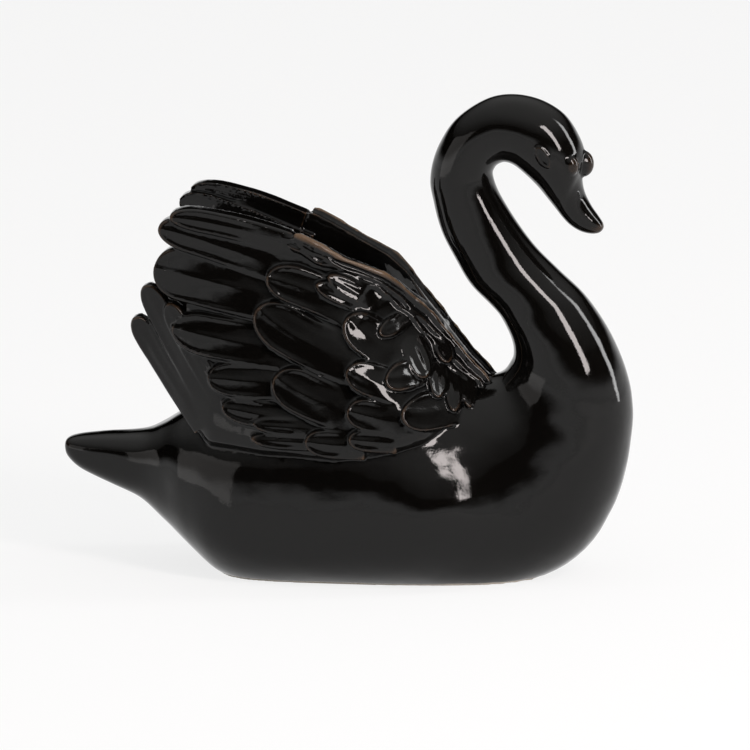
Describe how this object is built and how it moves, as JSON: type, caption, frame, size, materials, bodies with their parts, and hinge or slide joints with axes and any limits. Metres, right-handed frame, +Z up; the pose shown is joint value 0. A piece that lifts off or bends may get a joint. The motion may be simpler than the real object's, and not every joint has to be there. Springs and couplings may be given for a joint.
{
  "type": "swan figurine",
  "caption": "Glazed porcelain swan with raised wings, a curved neck and a flat foot, a free-standing ornament.",
  "frame": {"origin": "centre of the bounding box's bottom face, on the surface that the foot rests on", "axes": "+X the way the swan looks, +Y across the wings to its left side, +Z up"},
  "size_m": [0.2198, 0.0922, 0.1869],
  "materials": {
    "black_glaze": "gloss"
  },
  "bodies": {
    "root": {"swan": "black_glaze"}
  },
  "joints": []
}
